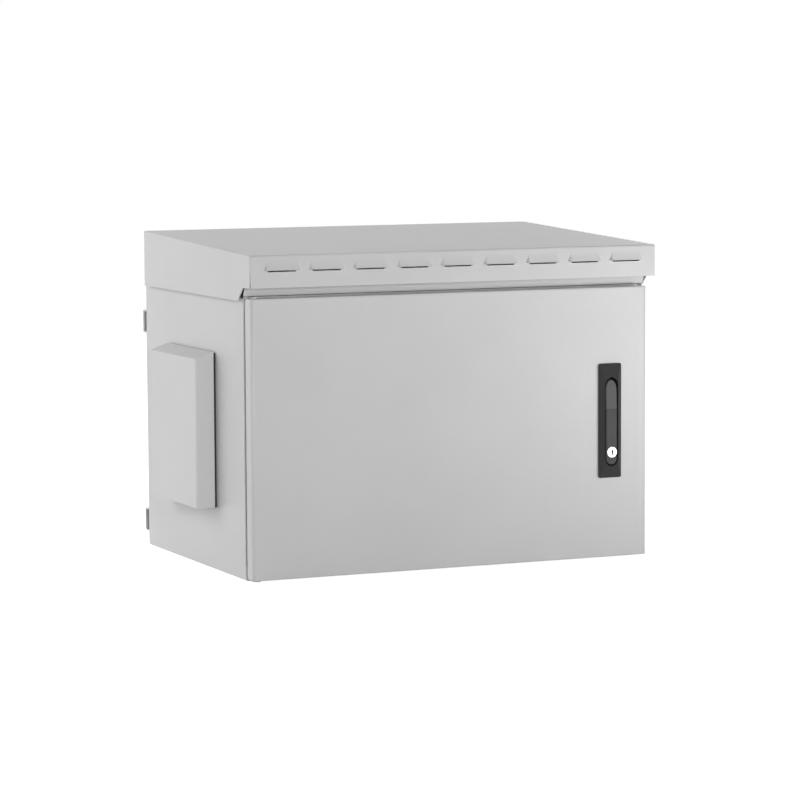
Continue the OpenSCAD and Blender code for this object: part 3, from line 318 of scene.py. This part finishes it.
# %% Sealing rubber
# Foamed or moulded EPDM. It gives the eye a deep matt black with tiny pores, paler where it is dusty.
def seal_rubber():
    material, tree, shader, place = start_material("foamed_epdm")
    dust = add_node(tree, "ShaderNodeTexNoise", {"Scale": per_mm(9), "Detail": 4.0}, {"Vector": place})
    tint_between(tree, shader, dust.outputs["Fac"], "1b1b1c", "2c2c2d")
    pores = add_node(tree, "ShaderNodeTexVoronoi", {"Scale": per_mm(1.0)}, {"Vector": place})
    raise_grain(tree, shader, pores.outputs["Distance"], 0.35, 0.2 * MM)
    shader.inputs["Roughness"].default_value = 0.85
    return material


# %% Filter fleece
# Bonded polyester fleece. It gives the eye a woolly off-white mat with no shine, with painted shade in its
# hollows.
def filter_fleece():
    material, tree, shader, place = start_material("filter_fleece")
    fibre_and_shade = add_node(tree, "ShaderNodeTexNoise", {"Scale": per_mm(2.2), "Detail": 6.0}, {"Vector": place})
    # The colour follows the relief's pattern, so the low places are painted greyer: painted shade.
    tint_between(tree, shader, fibre_and_shade.outputs["Fac"], "cfccc0", "efece3")
    raise_grain(tree, shader, fibre_and_shade.outputs["Fac"], 0.8, 0.6 * MM)
    shader.inputs["Roughness"].default_value = 0.95
    shader.inputs["Sheen Weight"].default_value = 0.4
    return material


# %% Give every node its finish
FINISHES = {
    "powder_coat": powder_coat(),
    "zinc_steel": zinc_plate(),
    "bright_steel": nickel_plate(),
    "seal_rubber": seal_rubber(),
    "black_plastic": black_nylon("black_glass_filled_nylon", "343435", "3b3b3c", 0.12),
    "filter_fleece": filter_fleece(),
}
slot_of = {row["node"]: row["material_slot"] for row in frame["record"]["subparts"]}
for name, node in nodes.items():
    node.data.materials.clear()
    node.data.materials.append(FINISHES[slot_of[name]])
print("finishes", len(FINISHES), "on", len(nodes), "nodes")

# %% [markdown]
# ## Folded sheet and mouldings
# The frame's solids have the true folds and radii, but their meshes are loose triangles, so a bend shows
# as flat facets. We leave the solids alone and dress a copy of each. Merging the doubled points joins the
# triangles, Limited Dissolve clears the needless lines on flat faces, and Shade Smooth by Angle rounds the
# light over the bends. A big flat face must stay flat in that light, so a Weighted Normal modifier lets
# the larger face decide along each bend.

# %% A dressed copy of a solid
BODIES = frame["record"]["behaviour"]["bodies"]
BODY_OF = {name: body for body, names in BODIES.items() for name in names}
MERGE = 0.002 * MM
FLAT = math.radians(0.3)
SMOOTH = math.radians(32)


def only(piece):
    bpy.ops.object.select_all(action="DESELECT")
    piece.select_set(True)
    bpy.context.view_layer.objects.active = piece


def merged_copy(name, title, clear_lines=True):
    only(nodes[name])
    bpy.ops.object.duplicate()
    piece = bpy.context.object
    piece.name = title
    del piece["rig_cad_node"]
    bpy.ops.object.mode_set(mode="EDIT")
    bpy.ops.mesh.select_all(action="SELECT")
    bpy.ops.mesh.remove_doubles(threshold=MERGE)
    if clear_lines:
        bpy.ops.mesh.dissolve_limited(angle_limit=FLAT)
    bpy.ops.object.mode_set(mode="OBJECT")
    return piece


def apply(piece, kind, **settings):
    only(piece)
    bpy.ops.object.modifier_add(type=kind)
    modifier = piece.modifiers[-1]
    for key, value in settings.items():
        setattr(modifier, key, value)
    bpy.ops.object.modifier_apply(modifier=modifier.name)


def smooth(piece):
    only(piece)
    bpy.ops.object.shade_smooth_by_angle(angle=SMOOTH)
    apply(piece, "WEIGHTED_NORMAL", weight=100, keep_sharp=True)


def stand_for(piece, *names):
    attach(piece, BODY_OF[names[0]])
    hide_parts(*names)


# %% Pick parts of a mesh by a test
def pick(piece, test):
    bpy.ops.object.mode_set(mode="EDIT")
    bpy.ops.mesh.select_mode(type="VERT")
    bpy.ops.mesh.select_all(action="DESELECT")
    bpy.ops.object.mode_set(mode="OBJECT")
    for point in piece.data.vertices:
        point.select = test(point.co)
    bpy.ops.object.mode_set(mode="EDIT")


# %% Bevels that each moulder, turner or press leaves, in millimetres
EDGE_ROUND = {
    "lock_escutcheon": 0.5,
    "lock_cylinder": 0.35,
    "key_plug": 0.2,
    "fan_frame": 0.5,
    "filter_frame_left": 0.4,
    "filter_frame_right": 0.4,
    "door_gasket": 3.0,
    "hood_gasket_left": 0.8,
    "hood_gasket_right": 0.8,
    "gland_gasket": 0.4,
    "lock_gasket": 0.3,
    "hinge_block_upper": 0.6,
    "hinge_block_lower": 0.6,
}
EDGE_ANGLE = math.radians(35)
# These nodes get a cell of their own further on.
MODELLED = ["roof_cover", "lock_lever", "filter_mat_left", "filter_mat_right"]
# Its face has a slot, and a bevel after Limited Dissolve would bridge that with one large face.
KEEP_LINES = ["lock_escutcheon"]
dressed = {}
for name in nodes:
    if name in MODELLED:
        continue
    piece = merged_copy(name, name + "_dressed", name not in KEEP_LINES)
    if name in EDGE_ROUND:
        apply(
            piece, "BEVEL", width=EDGE_ROUND[name] * MM, segments=3, limit_method="ANGLE",
            angle_limit=EDGE_ANGLE, use_clamp_overlap=True,
        )
    smooth(piece)
    stand_for(piece, name)
    dressed[name] = piece
print("dressed", len(dressed), "faces", sum(len(p.data.polygons) for p in dressed.values()))

# %% [markdown]
# ## Roof hem
# The roof's front flange is folded under, so its lower edge is a soft bend and not a sharp corner. On a
# copy of the solid we pick that one long edge by its place and bevel it in edit mode as wide as the bend.

# %% Hem of the front flange
EAVE_Z = 399.6 * MM
FLANGE_Y = -236.0 * MM
HEM = 1.4 * MM

roof = merged_copy("roof_cover", "roof_cover_dressed")
pick(roof, lambda p: abs(p.y - FLANGE_Y) < MERGE and abs(p.z - EAVE_Z) < MERGE)
bpy.ops.mesh.bevel(offset=HEM, segments=4, affect="EDGES")
bpy.ops.object.mode_set(mode="OBJECT")
smooth(roof)
stand_for(roof, "roof_cover")
print("roof faces", len(roof.data.polygons))

# %% [markdown]
# ## Swing lever
# The lever is one moulding that lies flush in its tub: a long body, round at the lock and drawn out to a
# nose at the top, with soft edges and a break line above which it leans back for the fingers. A box with a
# subdivision surface would lose the flat face. We start from a filled circle, pull its upper half out to
# the length and stretch it to the nose, extrude the depth, cut the break with Bisect, lean the face back
# and let a Bevel modifier round the edges. The lug behind it is cut from the solid, so the pivot is exact.

# %% Outline of the lever
lever_low, lever_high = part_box("lock_lever")
LEVER_X = (lever_low.x + lever_high.x) / 2
LEVER_HALF = (lever_high.x - lever_low.x) / 2
LEVER_FRONT = lever_low.y
LEVER_DEPTH = 8 * MM
LEVER_NOSE = 15 * MM
foot_z = lever_low.z + LEVER_HALF
nose_z = lever_high.z - LEVER_NOSE

bpy.ops.object.select_all(action="DESELECT")
bpy.ops.mesh.primitive_circle_add(
    vertices=64, radius=LEVER_HALF, fill_type="NGON",
    location=(LEVER_X, LEVER_FRONT, foot_z), rotation=(math.pi / 2, 0, 0),
)
lever = bpy.context.object
lever.name = "swing_lever"
bpy.ops.object.transform_apply(location=True, rotation=True, scale=True)
pick(lever, lambda p: p.z > foot_z + MERGE)
bpy.ops.transform.translate(value=(0, 0, nose_z - foot_z))
bpy.ops.transform.resize(
    value=(1, 1, LEVER_NOSE / LEVER_HALF), center_override=(LEVER_X, LEVER_FRONT, nose_z)
)
bpy.ops.mesh.select_all(action="SELECT")
bpy.ops.mesh.extrude_region_move(TRANSFORM_OT_translate={"value": (0, LEVER_DEPTH, 0)})
bpy.ops.mesh.select_all(action="SELECT")
bpy.ops.mesh.normals_make_consistent(inside=False)
bpy.ops.object.mode_set(mode="OBJECT")
print("lever length mm", round((lever_high.z - lever_low.z) / MM, 1))

# %% Break line, lean and soft edges
BREAK_SHARE = 0.66
BREAK_Z = lever_low.z + BREAK_SHARE * (lever_high.z - lever_low.z)
LEAN = math.radians(2)
LEVER_EDGE = 1.8 * MM
RIM_ANGLE = math.radians(50)

bpy.ops.object.mode_set(mode="EDIT")
bpy.ops.mesh.select_all(action="SELECT")
bpy.ops.mesh.bisect(plane_co=(0, 0, BREAK_Z), plane_no=(0, 0, 1))
pick(lever, lambda p: p.z > BREAK_Z + MERGE and p.y < LEVER_FRONT + MERGE)
bpy.ops.transform.rotate(
    value=LEAN, orient_axis="X", center_override=(LEVER_X, LEVER_FRONT, BREAK_Z)
)
bpy.ops.object.mode_set(mode="OBJECT")
tip = max(lever.data.vertices, key=lambda v: (v.co.z - abs(v.co.y - LEVER_FRONT)))
print("nose leans back mm", round((tip.co.y - LEVER_FRONT) / MM, 2))
apply(lever, "BEVEL", width=LEVER_EDGE, segments=4, limit_method="ANGLE", angle_limit=RIM_ANGLE)

# %% Bore for the lock, and the lug behind
lock_low, lock_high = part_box("lock_cylinder")
LOCK_PLACE = (LEVER_X, LEVER_FRONT + LEVER_DEPTH / 2, (lock_low.z + lock_high.z) / 2)
BORE_R = 6.1 * MM
LUG_OVERLAP = 0.1 * MM

bpy.ops.object.select_all(action="DESELECT")
bpy.ops.mesh.primitive_cylinder_add(
    vertices=48, radius=BORE_R, depth=4 * LEVER_DEPTH, location=LOCK_PLACE, rotation=(math.pi / 2, 0, 0)
)
drill = bpy.context.object
apply(lever, "BOOLEAN", operation="DIFFERENCE", object=drill, solver="EXACT")
bpy.data.objects.remove(drill)
lug = merged_copy("lock_lever", "lever_lug")
bpy.ops.object.mode_set(mode="EDIT")
bpy.ops.mesh.select_all(action="SELECT")
lug_y = LEVER_FRONT + LEVER_DEPTH - LUG_OVERLAP
bpy.ops.mesh.bisect(plane_co=(0, lug_y, 0), plane_no=(0, 1, 0), clear_inner=True, use_fill=True)
bpy.ops.object.mode_set(mode="OBJECT")
only(lever)
lug.select_set(True)
bpy.ops.object.join()
smooth(lever)
lever.data.materials.clear()
lever.data.materials.append(black_nylon("grey_black_nylon", "3c3c3e", "444446", 0.25))
# The upper part, above the break, takes a lighter grey: a painted highlight where the leaning face catches
# light.
lever.data.materials.append(black_nylon("painted_highlight_grey_black_nylon", "4e4e50", "565658", 0.25))
pick(lever, lambda p: p.z > BREAK_Z - MERGE)
lever.active_material_index = 1
bpy.ops.object.material_slot_assign()
bpy.ops.object.mode_set(mode="OBJECT")
stand_for(lever, "lock_lever")
print("lever faces", len(lever.data.polygons))

# %% [markdown]
# ## Keyway
# The slot for the key is deep and narrow, so its walls lie in shade and look nearly black beside the
# bright plug; that shade is painted on them as a dark colour. No new shape is needed: we pick the slot's
# faces on the dressed plug and assign them a second finish, as one does by hand with the Assign button.

# %% Painted shade on the walls of the keyway
def painted_keyway_shade():
    material, tree, shader, place = start_material("painted_shade_keyway")
    shade_cloud = add_node(tree, "ShaderNodeTexNoise", {"Scale": per_mm(2), "Detail": 2.0}, {"Vector": place})
    # Near-black with a faint mottle: painted shade of the deep, narrow slot.
    tint_between(tree, shader, shade_cloud.outputs["Fac"], "161513", "2a2825")
    shader.inputs["Roughness"].default_value = 0.6
    shader.inputs["Specular IOR Level"].default_value = 0.2
    return material


KEYWAY_HALF = 1.5 * MM
KEYWAY_REACH = 4.2 * MM

plug = dressed["key_plug"]
only(plug)
plug.data.materials.append(painted_keyway_shade())
pick(plug, lambda p: abs(p.x - LOCK_PLACE[0]) < KEYWAY_HALF and abs(p.z - LOCK_PLACE[2]) < KEYWAY_REACH)
plug.active_material_index = 1
bpy.ops.object.material_slot_assign()
bpy.ops.object.mode_set(mode="OBJECT")
print("keyway faces", sum(face.material_index for face in plug.data.polygons))

# %% [markdown]
# ## Filter mats and seals
# The mats behind the hoods are bonded polyester fleece, soft and uneven, cut out round the posts of their
# trays. A voxel remesh of the cut shape gives an even skin of small faces, a Smooth modifier takes the
# sharpness off its edges, and a Displace modifier with a cloud pattern raises the tufts. The pattern only
# pushes inwards, so the mat stays in its tray. The foam seals are padded pieces too; their crowned edges
# came from the bevels above.

# %% Filter mats
TUFT = bpy.data.textures.new("fleece_tufts", "CLOUDS")
TUFT.noise_scale = 7 * MM
TUFT.noise_depth = 2
FLEECE_SKIN = 2.5 * MM
TUFT_DEPTH = 2.2 * MM

for name in ("filter_mat_left", "filter_mat_right"):
    mat = merged_copy(name, name.replace("filter", "fleece"))
    apply(mat, "REMESH", mode="VOXEL", voxel_size=FLEECE_SKIN)
    apply(mat, "SMOOTH", factor=0.5, iterations=3)
    apply(mat, "DISPLACE", texture=TUFT, strength=TUFT_DEPTH, mid_level=1.0, texture_coords="LOCAL")
    only(mat)
    bpy.ops.object.shade_smooth()
    stand_for(mat, name)
    print(mat.name, "faces", len(mat.data.polygons))
